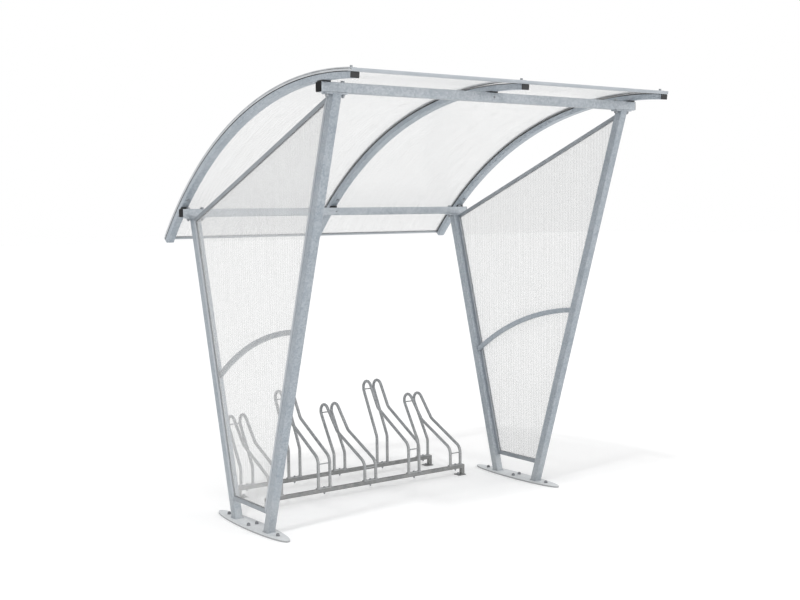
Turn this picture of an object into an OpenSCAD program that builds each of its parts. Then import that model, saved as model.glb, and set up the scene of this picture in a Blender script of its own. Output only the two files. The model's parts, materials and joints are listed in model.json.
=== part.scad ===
// Bicycle shelter with a curved roof, two V-shaped side frames and a wheel rack
// X runs along the width, the open front faces -Y, Z is up and the floor is at Z = 0
// The origin is the middle of the footprint, on the floor

/* [Overall] */
// Length of the two long beams, which is the whole width, in mm
purlin_length = 2200; // [2100:10:2900]
// Distance between the middles of the two side frames
frame_spacing = 2016; // [1930:2:2060]
// Distance from the middle roof arch to each end arch
arch_spacing = 1070; // [1040:2:1072]

/* [Side frames] */
// Outer size of the square post tube
post_size = 50; // [40:1:60]
// Wall thickness of the post tube
post_wall = 3; // [2:0.5:5]
// Distance of the front post's foot ahead of the base plate's middle
front_foot = 194; // [160:1:235]
// Distance of the rear post's foot behind the base plate's middle
rear_foot = 191; // [160:1:235]
// Distance of the front beam ahead of the base plate's middle
front_reach = 952; // [850:1:1050]
// Distance of the rear beam behind the base plate's middle
rear_reach = 657; // [560:1:760]
// Thickness of the flange plates on top of the posts
head_plate_thick = 8; // [6:1:12]
// Length of the flange plates along the beams
head_plate_length = 124; // [100:1:150]
// Height of the curved middle rail's top at its highest
mid_rail_peak = 1188; // [1000:1:1300]
// Radius of the curved middle rail's top
mid_rail_radius = 1843; // [1500:1:2400]
// Depth of the curved middle rail, measured along its radius
mid_rail_depth = 30; // [20:1:40]

/* [Base plates] */
// Length of a base plate, from front to back
plate_length = 820; // [760:2:960]
// Width of a base plate at its middle
plate_width = 130; // [110:1:160]
// Thickness of a base plate
plate_thick = 10; // [8:1:15]
// Diameter of the anchor holes
anchor_d = 14; // [12:1:18]
// Distance between the two end anchor holes
end_anchors = 586; // [540:2:600]
// Distance between the two middle anchor holes
mid_anchors = 54; // [40:1:70]

/* [Side panels] */
// Height of the lower edge of the side panels above the floor
panel_bottom = 121; // [80:1:250]
// Thickness of the multiwall sheet in the sides
panel_thick = 10; // [6:1:16]
// Width of the lower edge channel
bottom_channel_w = 25; // [20:1:35]
// Width of the upper edge channel
top_channel_w = 22; // [20:1:35]
// Width of the edge channels along the posts
side_channel_w = 18; // [16:1:30]
// Thickness of all the edge channels, across the frame
channel_depth = 18; // [14:1:24]
// How far the side sheet enters its channels
panel_entry = 12; // [8:1:14]

/* [Roof] */
// Outer radius of the roof arches
arch_radius = 2519; // [2400:1:2700]
// Height of the arches' top at the highest point of their curve
arch_peak = 2475; // [2350:1:2700]
// Distance of the highest point of the curve ahead of the base plate's middle
arch_peak_reach = 956; // [850:1:1050]
// Angle from the highest point to the front end of the roof
front_angle = 6.2; // [4:0.1:9]
// Angle from the highest point to the rear end of the roof
rear_angle = 48.0; // [44:0.1:52]
// Width of a roof arch tube
arch_width = 50; // [40:1:60]
// Height of a roof arch tube
arch_height = 30; // [25:1:40]
// Wall thickness of the roof arch tube
arch_wall = 2.5; // [2:0.5:4]
// Thickness of the multiwall sheet in the roof
sheet_thick = 10; // [6:1:16]
// Thickness of the rubber strip under the roof sheets
lower_gasket = 3; // [2:0.5:5]
// Thickness of the rubber strip over the roof sheets
upper_gasket = 2; // [1:0.5:4]
// Thickness of the cover strips over the arches
cover_thick = 6; // [4:0.5:10]
// Gap between the two roof sheets over the middle arch
sheet_gap = 6; // [2:1:12]

/* [Beams] */
// Outer size of the square beam tube
purlin_size = 50; // [40:1:60]
// Wall thickness of the beam tube
purlin_wall = 3; // [2:0.5:5]
// Thickness of the packing plates between the front beam and the arches
seat_thick = 6; // [1:0.5:12]
// Thickness of the plastic end caps
cap_thick = 4; // [2:0.5:6]

/* [Wheel rack] */
// Distance between neighbouring wheel holders
holder_pitch = 350; // [320:5:400]
// Distance between the two loops of one holder
loop_spacing = 85; // [60:1:100]
// Diameter of the loop tube
loop_d = 20; // [16:1:22]
// Extra height of the second and fourth holders' legs
high_rise = 72; // [0:1:120]
// Distance of the front rail behind the base plate's middle
rack_front = 276; // [240:1:300]
// Distance of the rear rail behind the base plate's middle
rack_rear = 645; // [600:1:680]
// Outer size of the square rack rail
rail_size = 25; // [20:1:40]
// Wall thickness of the rack rail
rail_wall = 2; // [1.5:0.5:4]
// Height of the underside of the rack rails above the floor
rail_height = 45; // [20:1:80]
// Length of the rack rails
rail_length = 1540; // [1520:10:1800]

/* [Hidden] */

$fn = 64;
long_curve_fn = 256;
eps = 1;
steel = [0.67, 0.71, 0.75];
alu = [0.78, 0.8, 0.82];
black = [0.12, 0.12, 0.13];
sheet = [0.9, 0.93, 0.95, 0.5];

// Roof curve: radii from the inside out, and the centre of the curve
arch_in = arch_radius - arch_height;
sheet_in = arch_radius + lower_gasket;
sheet_out = sheet_in + sheet_thick;
cover_in = sheet_out + upper_gasket;
cover_out = cover_in + cover_thick;
curve_y = -arch_peak_reach;
curve_z = arch_peak - arch_radius;
mm_angle = 180 / PI / arch_radius;
end_wall_a = 3 * mm_angle;
cap_a = cap_thick * mm_angle;
plug_a = 14 * mm_angle;
plug_gap = 0.4;

// Edge profiles of the roof, in degrees along the curve
front_profile_len = 30;
rear_profile_len = 14;
profile_lip = 2.6;
profile_top = 5.4;
rear_lip = 1.4;
front_tip_a = -front_angle - 8 * mm_angle;
front_in_a = front_tip_a + front_profile_len * mm_angle;
rear_tip_a = rear_angle + 2 * mm_angle;
rear_in_a = rear_tip_a - rear_profile_len * mm_angle;
slot_a = 3 * mm_angle;

// The footprint's middle, measured from the base plate's middle
front_reach_y = curve_y + (sheet_out + profile_top) * sin(front_tip_a);
rear_reach_y = curve_y + cover_out * sin(rear_in_a);
rear_profile_y = curve_y + (sheet_out + rear_lip) * sin(rear_tip_a);
base_y = -(front_reach_y + max(rear_reach_y, rear_profile_y)) / 2;

// Height of the arches' underside at a distance y behind the base plate's middle
function under_arch(y) = curve_z + sqrt(pow(arch_in, 2) - pow(y - curve_y, 2));

// Beams: the rear beam's upper rear edge lies against the arches' underside
seat_sag = 0.2;
front_beam_top = under_arch(-front_reach) - seat_thick - seat_sag;
rear_edge = rear_reach + purlin_size / 2;
rear_beam_top = under_arch(rear_edge);
wedge_len = 14;
wedge_tip = 3;

// Posts, from the base plate to the head plates
front_head_z = front_beam_top - purlin_size - head_plate_thick;
rear_head_z = rear_beam_top - purlin_size - head_plate_thick;
front_lean = atan((front_reach - front_foot) / (front_head_z - plate_thick));
rear_lean = atan((rear_reach - rear_foot) / (rear_head_z - plate_thick));
front_half = post_size / 2 / cos(front_lean);
rear_half = post_size / 2 / cos(rear_lean);

// Inner faces of the posts at a height z
function front_face(z) = -front_foot + front_half - tan(front_lean) * (z - plate_thick);
function rear_face(z) = rear_foot - rear_half + tan(rear_lean) * (z - plate_thick);

// Side sheets: outline between the posts, counter-clockwise from the lower front corner
panel_gap = 4;
panel_rear_z = rear_head_z - panel_gap;
panel_front_z = front_head_z - panel_gap;
outline = [[front_face(panel_bottom), panel_bottom], [rear_face(panel_bottom), panel_bottom],
  [rear_face(panel_rear_z), panel_rear_z], [front_face(panel_front_z), panel_front_z]];
widths = [bottom_channel_w, side_channel_w, top_channel_w, side_channel_w];
entries = [for (w = widths) w - panel_entry];
inner = inset(outline, widths);
sheet_line = inset(outline, entries);
panel_x = frame_spacing / 2 + post_size / 2 - channel_depth / 2;

// Middle rail of each side frame
mid_width = 20;
mid_wall = 2;
mid_x = frame_spacing / 2 - 8;
mid_y = -679;
mid_z = mid_rail_peak - mid_rail_radius;

// Wheel holders: outline of a loop in the YZ plane
bend_r = 60;
bend_full = 0.4;
lap = 2;
sink = 3;
top_r = 48;
plate_t = 5;
rod_d = 8;
rail_top = rail_height + rail_size;
leg_base = rail_top + plate_t;
front_knee = 190;
rear_knee = 185;
shoulder = [600, 345];
crown = [757, 457];
crown_lift = 54;
shoulder_lift = [30, 45];
foot_plate = [60, 60, 5];
foot_hole = 11;

// ---------- helpers ----------

// Point where two lines meet, each given by a point and a direction
function cross2(a, b) = a[0] * b[1] - a[1] * b[0];
function meet(p, d, q, e) = p + d * (cross2(q - p, e) / cross2(d, e));

// Outline moved inwards, by one distance for each edge
function inset(pts, dist) = let (n = len(pts)) [for (i = [0 : n - 1])
  let (h = (i + n - 1) % n, j = (i + 1) % n,
    d0 = (pts[i] - pts[h]) / norm(pts[i] - pts[h]),
    d1 = (pts[j] - pts[i]) / norm(pts[j] - pts[i]),
    p0 = pts[i] + [-d0[1], d0[0]] * dist[h],
    p1 = pts[i] + [-d1[1], d1[0]] * dist[i])
  meet(p0, d0, p1, d1)];

function heading(a, b) = atan2(b[1] - a[1], b[0] - a[0]);
function along(a) = [cos(a), sin(a)];

// Everything stands so that the footprint's middle is at the origin
module place() {
  translate([0, base_y, 0]) children();
}

// Prism with its outline in the YZ plane, centred on X = x
module side_prism(pts, width, x = 0) {
  translate([x - width / 2, 0, 0]) rotate([90, 0, 90]) linear_extrude(width) polygon(pts);
}

// Part of a ring about the roof curve's centre, from angle a0 to a1 behind the top
module roof_ring(r0, r1, width, a0, a1, x = 0) {
  translate([x, curve_y, curve_z]) rotate([0, -90, 0]) rotate([0, 0, a0])
    rotate_extrude(angle = a1 - a0, $fn = long_curve_fn)
      translate([r0, -width / 2]) square([r1 - r0, width]);
}

// Square tube that leans in the YZ plane, cut level at both ends
module leaning_tube(y0, z0, y1, z1, x) {
  lean = atan((y1 - y0) / (z1 - z0));
  outer = post_size / 2 / cos(lean);
  inside = outer - post_wall / cos(lean);
  over = eps * (y1 - y0) / (z1 - z0);
  difference() {
    side_prism([[y0 - outer, z0], [y0 + outer, z0], [y1 + outer, z1], [y1 - outer, z1]],
      post_size, x);
    side_prism([[y0 - over - inside, z0 - eps], [y0 - over + inside, z0 - eps],
      [y1 + over + inside, z1 + eps], [y1 + over - inside, z1 + eps]],
      post_size - 2 * post_wall, x);
  }
}

// Straight square tube along X
module tube_x(length, size, wall, y, z) {
  translate([0, y, z]) difference() {
    cube([length, size, size], center = true);
    cube([length + 2 * eps, size - 2 * wall, size - 2 * wall], center = true);
  }
}

// Round bar in the YZ plane from p to q, which reaches into the bends at its ends by laps
module bar_yz(p, q, d, x, lap_p = 0, lap_q = 0) {
  a = heading(p, q);
  start = p - along(a) * lap_p;
  translate([x, start[0], start[1]]) rotate([a - 90, 0, 0])
    cylinder(h = norm(q - p) + lap_p + lap_q, d = d);
}

// Bend in the YZ plane about a centre, from angle a0 over a sweep, a little fuller than its bars
module bend_yz(centre, r, d, a0, sweep, x) {
  translate([x, centre[0], centre[1]]) rotate([90, 0, 90]) rotate([0, 0, a0])
    rotate_extrude(angle = sweep) translate([r, 0]) circle(d = d + bend_full);
}

// Bend at a corner k between the straight lines from p and to q
module knee_yz(p, k, q, d, x) {
  a = heading(p, k);
  b = heading(k, q);
  turn = b - a;
  side = turn > 0 ? 90 : -90;
  c = k - along(a) * take(p, k, q) + along(a + side) * bend_r;
  bend_yz(c, bend_r, d, turn > 0 ? a - 90 : b + 90, abs(turn), x);
}

// Length that a bend takes from each of its straight sides
function take(p, k, q) = bend_r * tan(abs(heading(k, q) - heading(p, k)) / 2);

// ---------- side frames ----------

// Long plate with bowed sides and round tips, and four anchor holes
module base_plate(side) {
  half = plate_length / 2;
  tip = 0.94;
  bow = [for (a = [0 : 6 : 354])
    [pow(abs(sin(a)), tip) * sign(sin(a)) * plate_width / 2, cos(a) * half]];
  color(steel) place() difference() {
    translate([side * frame_spacing / 2, 0, 0]) linear_extrude(plate_thick) polygon(bow);
    for (s = [-1, 1]) {
      translate([side * frame_spacing / 2, s * end_anchors / 2, -eps])
        cylinder(h = plate_thick + 2 * eps, d = anchor_d);
      translate([side * frame_spacing / 2 + s * mid_anchors / 2, 0, -eps])
        cylinder(h = plate_thick + 2 * eps, d = anchor_d);
    }
  }
}

module front_post(side) {
  color(steel) place() leaning_tube(-front_foot, plate_thick, -front_reach, front_head_z,
    side * frame_spacing / 2);
}

module rear_post(side) {
  color(steel) place() leaning_tube(rear_foot, plate_thick, rear_reach, rear_head_z,
    side * frame_spacing / 2);
}

// Flange plate that is bolted under a beam
module head_plate(side, y, z) {
  color(steel) place() translate([side * frame_spacing / 2, y, z + head_plate_thick / 2])
    cube([head_plate_length, purlin_size, head_plate_thick], center = true);
}

// Curved flat tube between the posts
module mid_rail(side) {
  far = 2000;
  color(steel) place() intersection() {
    translate([side * mid_x, mid_y, mid_z]) rotate([0, -90, 0])
      rotate_extrude(angle = 60, $fn = long_curve_fn) difference() {
        translate([mid_rail_radius - mid_rail_depth, -mid_width / 2])
          square([mid_rail_depth, mid_width]);
        translate([mid_rail_radius - mid_rail_depth + mid_wall, -mid_width / 2 + mid_wall])
          square([mid_rail_depth - 2 * mid_wall, mid_width - 2 * mid_wall]);
      }
    side_prism([[front_face(0), 0], [rear_face(0), 0], [rear_face(far), far],
      [front_face(far), far]], mid_width + 2 * eps, side * mid_x);
  }
}

// ---------- side panels ----------

module side_panel(side) {
  color(sheet) place() side_prism(sheet_line, panel_thick, side * panel_x);
}

// Channel on one edge of the outline, mitred at the corners and slotted for the sheet
module channel(side, i) {
  j = (i + 1) % 4;
  difference() {
    side_prism([outline[i], outline[j], inner[j], inner[i]], channel_depth, side * panel_x);
    side_prism(sheet_line, panel_thick, side * panel_x);
  }
}

module bottom_channel(side) {
  color(alu) place() channel(side, 0);
}

module top_channel(side) {
  color(alu) place() channel(side, 2);
}

module post_channels(side) {
  color(alu) place() {
    channel(side, 1);
    channel(side, 3);
  }
}

// ---------- beams ----------

module front_beam() {
  color(steel) place() tube_x(purlin_length, purlin_size, purlin_wall, -front_reach,
    front_beam_top - purlin_size / 2);
}

module rear_beam() {
  color(steel) place() tube_x(purlin_length, purlin_size, purlin_wall, rear_reach,
    rear_beam_top - purlin_size / 2);
}

// Plastic caps in the four beam ends, each with a plug inside the tube
module beam_caps() {
  plug = purlin_size - 2 * purlin_wall - 2 * plug_gap;
  color(black) place() for (s = [-1, 1], p = [[-front_reach, front_beam_top],
    [rear_reach, rear_beam_top]])
    translate([s * purlin_length / 2, p[0], p[1] - purlin_size / 2]) union() {
      translate([s * cap_thick / 2, 0, 0])
        cube([cap_thick, purlin_size, purlin_size], center = true);
      translate([-s * 7, 0, 0]) cube([14, plug, plug], center = true);
    }
}

// ---------- roof ----------

// Bent rectangular tube, open at the front for its cap and closed at the rear
module roof_arch(x) {
  color(steel) place() difference() {
    roof_ring(arch_in, arch_radius, arch_width, -front_angle, rear_angle, x);
    roof_ring(arch_in + arch_wall, arch_radius - arch_wall, arch_width - 2 * arch_wall,
      -front_angle - end_wall_a, rear_angle - end_wall_a, x);
  }
}

// Plastic caps in the arches' front ends
module arch_caps() {
  g = arch_wall + plug_gap;
  color(black) place() for (x = [-arch_spacing, 0, arch_spacing]) union() {
    roof_ring(arch_in, arch_radius, arch_width, -front_angle - cap_a, -front_angle, x);
    roof_ring(arch_in + g, arch_radius - g, arch_width - 2 * g, -front_angle - cap_a / 2,
      -front_angle + plug_a, x);
  }
}

// Packing plates between the front beam and the arches
module front_arch_seats() {
  color(black) place() for (x = [-arch_spacing, 0, arch_spacing])
    translate([x - arch_width / 2, -front_reach - purlin_size / 2, front_beam_top])
      cube([arch_width, purlin_size, seat_thick]);
}

// Wedges between the rear beam's top and the arches' underside
module rear_arch_seats() {
  y0 = rear_edge - wedge_len;
  y1 = rear_edge - wedge_tip;
  color(black) place() for (x = [-arch_spacing, 0, arch_spacing])
    side_prism([[y0, rear_beam_top], [y1, rear_beam_top], [y1, under_arch(y1)],
      [y0, under_arch(y0)]], arch_width, x);
}

// Rubber strips under and over the roof sheets, along each arch
module roof_gaskets() {
  strip = 46;
  color(black) place() for (x = [-arch_spacing, 0, arch_spacing]) {
    roof_ring(arch_radius, sheet_in, strip, front_in_a, rear_in_a, x);
    roof_ring(sheet_out, cover_in, strip, front_in_a, rear_in_a, x);
  }
}

// Curved multiwall sheet from an end arch to the middle arch
module roof_sheet(side) {
  wide = arch_spacing + arch_width / 2 - sheet_gap / 2;
  color(sheet) place() roof_ring(sheet_in, sheet_out, wide, front_tip_a + slot_a,
    rear_tip_a - slot_a, side * (sheet_gap / 2 + wide / 2));
}

module cover_strip(x) {
  color(alu) place() roof_ring(cover_in, cover_out, arch_width, front_in_a, rear_in_a, x);
}

// Channel over the sheets' front edge, along the whole width
module front_edge_profile() {
  wide = 2 * arch_spacing + arch_width;
  color(alu) place() difference() {
    roof_ring(sheet_in - profile_lip, sheet_out + profile_top, wide, front_tip_a, front_in_a);
    roof_ring(sheet_in, sheet_out, wide + 2 * eps, front_tip_a + slot_a, front_in_a + slot_a);
  }
}

// Thin channel under the sheets' lower rear edge
module rear_edge_profile() {
  wide = 2 * arch_spacing + arch_width;
  color(alu) place() difference() {
    roof_ring(sheet_in - rear_lip, sheet_out + rear_lip, wide, rear_in_a, rear_tip_a);
    roof_ring(sheet_in, sheet_out, wide + 2 * eps, rear_in_a - slot_a, rear_tip_a - slot_a);
  }
}

// ---------- wheel rack ----------

module rack_front_rail() {
  color(steel) place() tube_x(rail_length, rail_size, rail_wall, rack_front,
    rail_height + rail_size / 2);
}

module rack_rear_rail() {
  color(steel) place() tube_x(rail_length, rail_size, rail_wall, rack_rear,
    rail_height + rail_size / 2);
}

// Short feet under the ends of the rails, each with an anchor hole in its plate
module rack_feet() {
  stub = rail_size;
  for (s = [-1, 1], y = [rack_front, rack_rear])
    color(steel) place() translate([s * (rail_length / 2 - foot_plate[0] / 2), y, 0])
      difference() {
        union() {
          translate([-foot_plate[0] / 2, -foot_plate[1] / 2, 0]) cube(foot_plate);
          translate([s * (foot_plate[0] - stub) / 2 - stub / 2, -stub / 2, foot_plate[2]])
            cube([stub, stub, rail_height - foot_plate[2]]);
        }
        translate([-s * foot_plate[0] / 4, 0, -eps])
          cylinder(h = foot_plate[2] + 2 * eps, d = foot_hole);
      }
}

// One bent loop: upright front leg, sloping run, round top, and upright rear leg
module loop(rise, x) {
  lift = rise > 0 ? 1 : 0;
  p0 = [rack_front, leg_base];
  p1 = [rack_front, front_knee + rise];
  p2 = shoulder + [lift * shoulder_lift[0], rise + lift * shoulder_lift[1]];
  c = crown + [0, rise + lift * crown_lift];
  p4 = [rack_rear, rear_knee + rise];
  p5 = [rack_rear, leg_base];
  d2 = norm(c - p2);
  d4 = norm(c - p4);
  a2 = heading(p2, c) + asin(top_r / d2);
  a4 = heading(p4, c) - asin(top_r / d4);
  t2 = p2 + along(a2) * sqrt(d2 * d2 - top_r * top_r);
  t4 = p4 + along(a4) * sqrt(d4 * d4 - top_r * top_r);
  b1 = heading(p1, p2);
  k1 = take(p0, p1, p2);
  k2 = take(p1, p2, t2);
  k4 = take(p5, p4, t4);
  up = [0, 1];
  bar_yz(p0 - up * sink, p1 - up * k1, loop_d, x, 0, lap);
  knee_yz(p0, p1, p2, loop_d, x);
  bar_yz(p1 + along(b1) * k1, p2 - along(b1) * k2, loop_d, x, lap, lap);
  knee_yz(p1, p2, t2, loop_d, x);
  bar_yz(p2 + along(a2) * k2, t2, loop_d, x, lap, lap);
  bend_yz(c, top_r, loop_d, a4 - 90, 180 + a2 - a4, x);
  bar_yz(p4 + along(a4) * k4, t4, loop_d, x, lap, lap);
  knee_yz(p5, p4, t4, loop_d, x);
  bar_yz(p5 - up * sink, p4 - up * k4, loop_d, x, 0, lap);
}

// Two loops joined by two thin rods and two foot plates
module wheel_holder(i) {
  rise = i % 2 == 0 ? high_rise : 0;
  lift = rise > 0 ? crown_lift : 0;
  foot_w = loop_spacing + loop_d + 10;
  span = loop_spacing - loop_d / 2;
  color(steel) place() translate([(i - 3) * holder_pitch, 0, 0]) union() {
    for (s = [-1, 1])
      loop(rise, s * loop_spacing / 2);
    for (y = [rack_front, rack_rear])
      translate([-foot_w / 2, y - rail_size / 2, rail_top]) cube([foot_w, rail_size, plate_t]);
    for (p = [[rack_front, front_knee + rise - 35],
      [crown[0] + top_r - 3, crown[1] - 14 + rise + lift]])
      translate([-span / 2, p[0], p[1]]) rotate([0, 90, 0]) cylinder(h = span, d = rod_d);
  }
}

base_plate(-1);  // base_plate_left
base_plate(1);  // base_plate_right
front_post(-1);  // front_post_left
front_post(1);  // front_post_right
rear_post(-1);  // rear_post_left
rear_post(1);  // rear_post_right
head_plate(-1, -front_reach, front_head_z);  // front_head_plate_left
head_plate(1, -front_reach, front_head_z);  // front_head_plate_right
head_plate(-1, rear_reach, rear_head_z);  // rear_head_plate_left
head_plate(1, rear_reach, rear_head_z);  // rear_head_plate_right
mid_rail(-1);  // mid_rail_left
mid_rail(1);  // mid_rail_right
side_panel(-1);  // side_panel_left
side_panel(1);  // side_panel_right
top_channel(-1);  // top_channel_left
top_channel(1);  // top_channel_right
bottom_channel(-1);  // bottom_channel_left
bottom_channel(1);  // bottom_channel_right
post_channels(-1);  // post_channels_left
post_channels(1);  // post_channels_right
front_beam();
rear_beam();
beam_caps();
roof_arch(-arch_spacing);  // roof_arch_left
roof_arch(0);  // roof_arch_middle
roof_arch(arch_spacing);  // roof_arch_right
arch_caps();
front_arch_seats();
rear_arch_seats();
roof_gaskets();
roof_sheet(-1);  // roof_sheet_left
roof_sheet(1);  // roof_sheet_right
cover_strip(-arch_spacing);  // cover_strip_left
cover_strip(0);  // cover_strip_middle
cover_strip(arch_spacing);  // cover_strip_right
front_edge_profile();
rear_edge_profile();
rack_front_rail();
rack_rear_rail();
rack_feet();
wheel_holder(1);  // wheel_holder_1
wheel_holder(2);  // wheel_holder_2
wheel_holder(3);  // wheel_holder_3
wheel_holder(4);  // wheel_holder_4
wheel_holder(5);  // wheel_holder_5
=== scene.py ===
"""Looks for a bicycle shelter with V-shaped side frames, a curved multiwall roof and a wheel rack.

Metres, in the frame of the CAD part: X along the width, +Y towards the low rear, Z up, floor at Z = 0.
"""

import json
import math

import bpy
import numpy as np
from mathutils import Matrix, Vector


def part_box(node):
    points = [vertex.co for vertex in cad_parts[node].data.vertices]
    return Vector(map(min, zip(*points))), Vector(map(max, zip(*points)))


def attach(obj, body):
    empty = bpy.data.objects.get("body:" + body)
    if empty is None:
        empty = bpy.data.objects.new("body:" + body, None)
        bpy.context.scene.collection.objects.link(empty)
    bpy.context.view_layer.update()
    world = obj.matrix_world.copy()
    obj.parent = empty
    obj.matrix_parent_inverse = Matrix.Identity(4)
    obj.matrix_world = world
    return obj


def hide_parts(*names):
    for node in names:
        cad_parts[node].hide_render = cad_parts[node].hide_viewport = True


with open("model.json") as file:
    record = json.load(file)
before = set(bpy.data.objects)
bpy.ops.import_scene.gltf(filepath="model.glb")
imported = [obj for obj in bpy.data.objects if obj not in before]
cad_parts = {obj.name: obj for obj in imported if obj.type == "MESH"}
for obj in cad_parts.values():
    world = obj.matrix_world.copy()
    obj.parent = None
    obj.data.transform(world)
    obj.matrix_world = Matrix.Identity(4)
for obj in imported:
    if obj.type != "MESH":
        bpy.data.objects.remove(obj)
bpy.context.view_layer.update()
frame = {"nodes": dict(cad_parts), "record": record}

# ---------- sizes that the nodes' boxes don't give ----------

BODY = "root"
SIDES = {"left": -1, "middle": 0, "right": 1}

POST_WALL = 0.003
TUBE_CORNER = 0.0045
POST_BORE_CORNER = 0.002
LEAST_CORNER = 0.001
POST_STEPS = 24
BEAM_STEPS = 30
# Weld beads round the posts' feet and heads, and where their rings lie on the tube.
FOOT_WELD = {"radius": 0.0036, "ripples": 34, "rise": 0.0015, "grow": 0.001}
HEAD_WELD = {"radius": 0.0028, "ripples": 40, "rise": -0.001, "grow": 0.0005}
WELD_POINTS = 96

# How much is broken off the sharp edges of the CAD nodes.
BASE_PLATE_EDGE = 0.0010
HEAD_PLATE_EDGE = 0.0008
MID_RAIL_EDGE = 0.0018
FRONT_PROFILE_EDGE = 0.0006
REAR_PROFILE_EDGE = 0.0003
CHANNEL_EDGE = 0.0005
RACK_FEET_EDGE = 0.0008

ARCH_RADIUS = 2.519
ARCH_DEPTH = 0.030
ARCH_WALL = 0.0025
ARCH_CORNER = 0.004
ARCH_BORE_CORNER = 0.0015
ARCH_STEPS = 64
ARCH_END_PLATE = 0.003
ARCH_END_CORNER = 0.0025
ARCH_MIDDLE = ARCH_RADIUS - ARCH_DEPTH / 2
FRONT_ANGLE = 6.2
REAR_ANGLE = 48.0

# End caps: a plug, a rim up to the given share or depth, and a face that is scaled down a little.
CAP_PLUG = 0.010
BEAM_CAP_RIM = 0.55
BEAM_CAP_SCALES = [0.86, 0.86, 1.0, 1.0, 0.955]
ARCH_CAP_SCALES = [0.8, 0.8, 1.0, 1.0, 0.95]
ARCH_CAP_RIM, ARCH_CAP = 0.0025, 0.004

SKIN = 0.0006
SKIN_CORNER = 0.2 * SKIN
RIB = 0.0005
FLUTE_PITCH = 0.025
SIDE_FLUTE_MARGIN = 0.004
SHORTEST_FLUTE = 0.02
SHEET_THICK = 0.010
SHEET_STEPS = 56
TAPE = 0.0008
TAPE_CORNER = 0.3 * TAPE

LOWER_GASKET = 0.003
UPPER_GASKET = 0.002
GASKET_SETBACK = 0.001
GASKET_CORNER = 0.001
CORD_WIDTH = 0.008
CORD_CORNER = 0.0009
OUTER_CORD_INSET = 0.012
MIDDLE_CORD_INSET = 0.020
COVER_THICK = 0.006
COVER_CORNER = 0.0022
STRIP_STEPS = 60
SHEET_IN = ARCH_RADIUS + LOWER_GASKET
COVER_IN = SHEET_IN + SHEET_THICK + UPPER_GASKET
COVER_TOP = COVER_IN + COVER_THICK

RAIL_CORNER = 0.003
RAIL_WALL = 0.002
LOOP_D = 0.020
LOOP_SIDES = 20
LOOP_SPACING = 0.085
LOOP_WELD, LOOP_RIPPLES = 0.0024, 17
LOOP_WELD_GAP = 0.0008
LOOP_WELD_RISE = 0.001
LOOP_WELD_POINTS = 48
LEG_SINK = 0.001
BEND_RADIUS = 0.060
CROWN_RADIUS = 0.048
ROD_D = 0.008
ROD_SIDES = 14
ROD_UNDER_KNEE = 0.035
ROD_UNDER_CROWN = 0.014
ROD_INSIDE_CROWN = 0.003
FRONT_KNEE = 0.190
REAR_KNEE = 0.185
SHOULDER = np.array([0.324, 0.345])
CROWN = np.array([0.481, 0.457])
SHOULDER_LIFT = np.array([0.030, 0.045])
CROWN_LIFT = 0.054
HIGH_RISE = 0.072
FOOT_PLATE = 0.005
FOOT_MARGIN = 0.010
# A foot plate's levels, in its own thickness, and its outline's scale at each.
FOOT_LEVELS = np.array([0, 0.15, 0.85, 1.0])
FOOT_SCALES = [0.985, 1.0, 1.0, 0.985]
HOLDERS = 5

# Heights of a bolt's washer, head and nut in its own diameters, and how far threads stand out of nuts.
WASHER = 0.17
HEAD = 0.64
NUT = 0.8
LONG_TIP = 0.6
HEAD_BOLT_TIP = 0.4
ANCHOR_TIP = 0.3
HEAD_BOLT_D = 0.012
HEAD_BOLT_REACH = 0.046
ANCHOR_D = 0.012
RACK_ANCHOR_D = 0.010
RACK_BOLT_D = 0.008
ARCH_BOLT_D = 0.010
ARCH_BOLT_REACH = 0.012
EDGE_BOLT_D = 0.008
EDGE_BOLT_HEAD = 0.0075
EDGE_BOLT_SEAT = 0.0014
EDGE_BOLT_BACK = 0.034
STRIP_SCREWS = 7
SCREW_SIDES = 20
FIRST_SCREW = 1.5

# Heights and radii of small turned things, from their base to their top.
STRIP_SCREW = [(-0.001, 0.0065), (0.0006, 0.0065), (0.0016, 0.0052), (0.0021, 0.003)]
SET_SCREW = [(-0.001, 0.0055), (0.0012, 0.0055), (0.0026, 0.0042), (0.003, 0.002)]
ROD_WELD = [(-0.002, 0.0058), (0.0, 0.0062), (0.0022, 0.0046)]


# ---------- places taken from the frame ----------

def low_high(node):
    """Lowest and highest corner of a CAD node, as arrays."""
    lo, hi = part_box(node)
    return np.array(lo), np.array(hi)


def centre_of(node):
    """Middle of a CAD node's box."""
    lo, hi = low_high(node)
    return (lo + hi) / 2


def lean_of(node, width):
    """Slope t of a leaning tube cut level at both ends.

    Its box is L long and h high, and L = h t + width sqrt(1 + t^2), solved for t.
    """
    lo, hi = low_high(node)
    length, height = hi[1] - lo[1], hi[2] - lo[2]
    a = height ** 2 - width ** 2
    b = length * height
    c = length ** 2 - width ** 2
    return (b - math.sqrt(b * b - a * c)) / a


mounts = {m["name"]: m for m in frame["record"]["mounts"]}
post_lo, post_hi = low_high("front_post_right")
POST = post_hi[0] - post_lo[0]
PLATE_TOP = low_high("base_plate_right")[1][2]

arch_lo, arch_hi = low_high("roof_arch_right")
ARCH_WIDTH = arch_hi[0] - arch_lo[0]
ARCH_X = (arch_lo[0] + arch_hi[0]) / 2
CURVE_Z = arch_hi[2] - ARCH_RADIUS
CURVE_Y = arch_hi[1] - ARCH_RADIUS * math.sin(math.radians(REAR_ANGLE))


# ---------- shells: (points, quads, triangles) ----------

def grid_quads(rows, cols, wrap_rows=False, wrap_cols=False):
    """Quads between the points of a grid numbered row by row; a wrapped direction closes on itself."""
    r, c = np.meshgrid(np.arange(rows if wrap_rows else rows - 1),
                       np.arange(cols if wrap_cols else cols - 1), indexing="ij")
    r2, c2 = (r + 1) % rows, (c + 1) % cols
    return np.stack([r * cols + c, r * cols + c2, r2 * cols + c2, r2 * cols + c], -1).reshape(-1, 4)


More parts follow.
